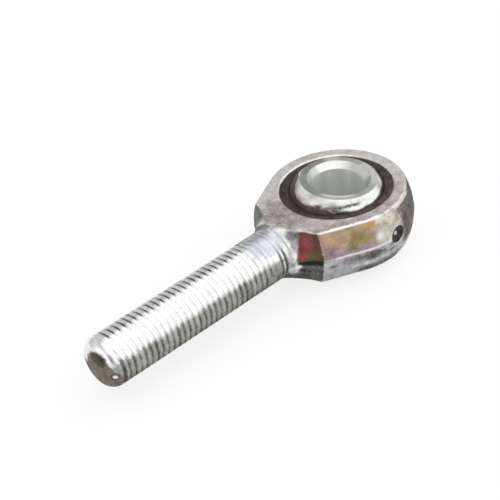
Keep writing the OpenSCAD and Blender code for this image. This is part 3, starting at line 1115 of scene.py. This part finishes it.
grease_paste = mottled(
    "grease_paste", dark=(0.2, 0.12, 0.04), light=(0.35, 0.22, 0.08),
    roughness=0.4, spread=0.1, scale=800, bump=0.5, metallic=0.0)


def dress(piece, *materials):
    piece.data.materials.clear()
    for material in materials:
        piece.data.materials.append(material)


def split_ball(piece):
    """Gives the wall of the bore the third material, and the ball's ends the second."""
    for face in piece.data.polygons:
        along = face.center.dot(BALL_AXIS)
        out = (face.center - along * BALL_AXIS).length
        if out < BORE_R + ON_SURFACE:
            face.material_index = 2
        elif out < BALL_FACE_R - ON_SURFACE:
            face.material_index = 1


def build_check_coil():
    """The check spring as a mesh of its own."""
    spring = frame["nodes"]["check_spring"]
    piece = bpy.data.objects.new("check_coil", spring.data.copy())
    piece.data.transform(spring.matrix_world)
    bpy.context.scene.collection.objects.link(piece)
    return piece


rod = build_rod()
marks = coat_rod(rod)
dress(rod, zinc)
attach(rod, "rod")
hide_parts("rod_body")

race = build_race()
dress(race, dark_steel)
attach(race, "rod")
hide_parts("race")

ball = build_ball()
coat_ball(ball)
dress(ball, chrome, turned_chrome, bored_chrome)
split_ball(ball)
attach(ball, "ball")
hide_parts("ball")

for name, material in (("nipple_body", oxide), ("check_ball", bright_steel), ("grease_ring", grease_paste)):
    dress(frame["nodes"][name], material)

coil = build_check_coil()
dress(coil, oxide)
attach(coil, "rod")
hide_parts("check_spring")
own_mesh(coil)


# -------------------- stage
FLOOR_HALF = 2.0
FLOOR_COLOUR = (0.93, 0.93, 0.93, 1)
FLOOR_GLOW = 0.8
MIRRORED_FLOOR_GLOW = 0.1


def floor_material():
    """Pale paper that glows for the camera, and a little for what mirrors it, and takes shadows."""
    material = new_material("pale_floor")
    tree = material.node_tree
    paper = node(tree, "ShaderNodeBsdfDiffuse", {"Color": FLOOR_COLOUR}).outputs["BSDF"]
    white = node(tree, "ShaderNodeEmission").outputs["Emission"]
    rays = node(tree, "ShaderNodeLightPath").outputs
    bounced = reckon(tree, "ADD", rays["Is Glossy Ray"], rays["Is Transmission Ray"])
    bounced.node.use_clamp = True
    direct = reckon(tree, "MULTIPLY", rays["Is Camera Ray"], FLOOR_GLOW)
    share = reckon(tree, "MULTIPLY_ADD", bounced, MIRRORED_FLOOR_GLOW, direct)
    both = node(tree, "ShaderNodeMixShader", {"Fac": share, 1: paper, 2: white}).outputs["Shader"]
    node(tree, "ShaderNodeOutputMaterial", {"Surface": both})
    return material


def add_floor():
    """A square floor at the height of the part's lowest point."""
    low = cad_box[0][2]
    corners = [(FLOOR_HALF * x, FLOOR_HALF * y, low) for x, y in ((-1, -1), (1, -1), (1, 1), (-1, 1))]
    floor = new_object("floor", corners, [(0, 1, 2, 3)])
    dress(floor, floor_material())


# Each glow: where it is centred, the angles where it starts to fall and where it ends, its strength
SKY = 0.45
GLOWS = (
    ((-0.35, 0.45, 0.82), 46, 74, 1.35),
    ((1.0, 0.0, 0.12), 18, 48, 1.2),
    ((0.62, 0.54, 0.5), 6, 22, -0.9),
    ((0.6, -0.68, 0.45), 12, 42, 0.5),
    ((-0.15, -0.9, 0.4), 8, 26, 0.45),
)


def add_world():
    """A soft studio all round, brighter where its windows are and darker at a dark screen."""
    world = bpy.data.worlds.new("studio")
    world.use_nodes = True
    tree = world.node_tree
    tree.nodes.clear()
    direction = node(tree, "ShaderNodeTexCoord").outputs["Generated"]
    total = SKY
    for centre, inner, outer, strength in GLOWS:
        facing = node(tree, "ShaderNodeVectorMath", {0: direction, 1: Vector(centre).normalized()},
                      operation="DOT_PRODUCT")
        glow = node(tree, "ShaderNodeMapRange", {
            "Value": facing.outputs["Value"], "From Min": math.cos(math.radians(outer)),
            "From Max": math.cos(math.radians(inner)), "To Max": strength,
        }, interpolation_type="SMOOTHSTEP")
        total = reckon(tree, "ADD", glow.outputs["Result"], total)
    back = node(tree, "ShaderNodeBackground", {"Strength": total}).outputs["Background"]
    node(tree, "ShaderNodeOutputWorld", {"Surface": back})
    bpy.context.scene.world = world


add_floor()
add_world()
bpy.context.scene.view_settings.view_transform = "Standard"


# -------------------- how far the things show from their image points
def middle_of(points):
    """The middle of the box that points take up in the image."""
    shown = np.array([shown_at(point) for point in points])
    return (shown.min(axis=0) + shown.max(axis=0)) / 2


def ring_points(axis, radius, height, count=180):
    """Points on a circle about an axis through the origin."""
    lean = Vector((0, 0, 1)).rotation_difference(Vector(axis))
    turns = [2 * math.pi * k / count for k in range(count)]
    return [lean @ Vector((radius * math.cos(t), radius * math.sin(t), height)) for t in turns]


def neck_corner_points(piece):
    """The vertex where the near flank, the neck and the upper face meet."""
    at = points_of(piece)
    off = np.abs(side_distance(*at.T) - turned_distance(at[:, 0], np.hypot(at[:, 1], at[:, 2])))
    off = off + np.abs(side_distance(*at.T)) + np.abs(at[:, 2] - HALF_EYE) + (at[:, 1] < 0)
    return [Vector(at[int(np.argmin(off))])]


def write_points():
    """How far each thing shows from its image point, in pixels; nothing depends on it."""
    nodes = frame["nodes"]
    tree = tree_of([rod, race, ball, nodes["nipple_body"], nodes["check_ball"]])
    shown = np.array([shown_at(point) for piece in (rod, race, ball) for point in points_of(piece)])
    away = {
        "left_x": [shown[:, 0].min() - LEFT_X, 0], "right_x": [shown[:, 0].max() - RIGHT_X, 0],
        "top_y": [0, shown[:, 1].min() - TOP_Y], "bottom_y": [0, shown[:, 1].max() - BOTTOM_Y],
    }
    things = dict(marks)
    things["race_rim"] = (RACE_RIM, ring_points((0, 0, 1), LIP_MOUTH_R, HALF_EYE))
    things["ball_face"] = (BALL_FACE, ring_points(BALL_AXIS, BALL_FACE_R, HALF_BALL))
    things["nipple"] = (NIPPLE, [vert.co for vert in nodes["nipple_body"].data.vertices])
    things["neck_corner"] = (NECK_CORNER, neck_corner_points(rod))
    for name, (point, places) in things.items():
        seen = in_view(places, tree)
        if seen:
            away[name] = list(middle_of(seen) - np.array(point))
    away = {name: [round(float(v), 2) for v in values] for name, values in away.items()}


write_points()
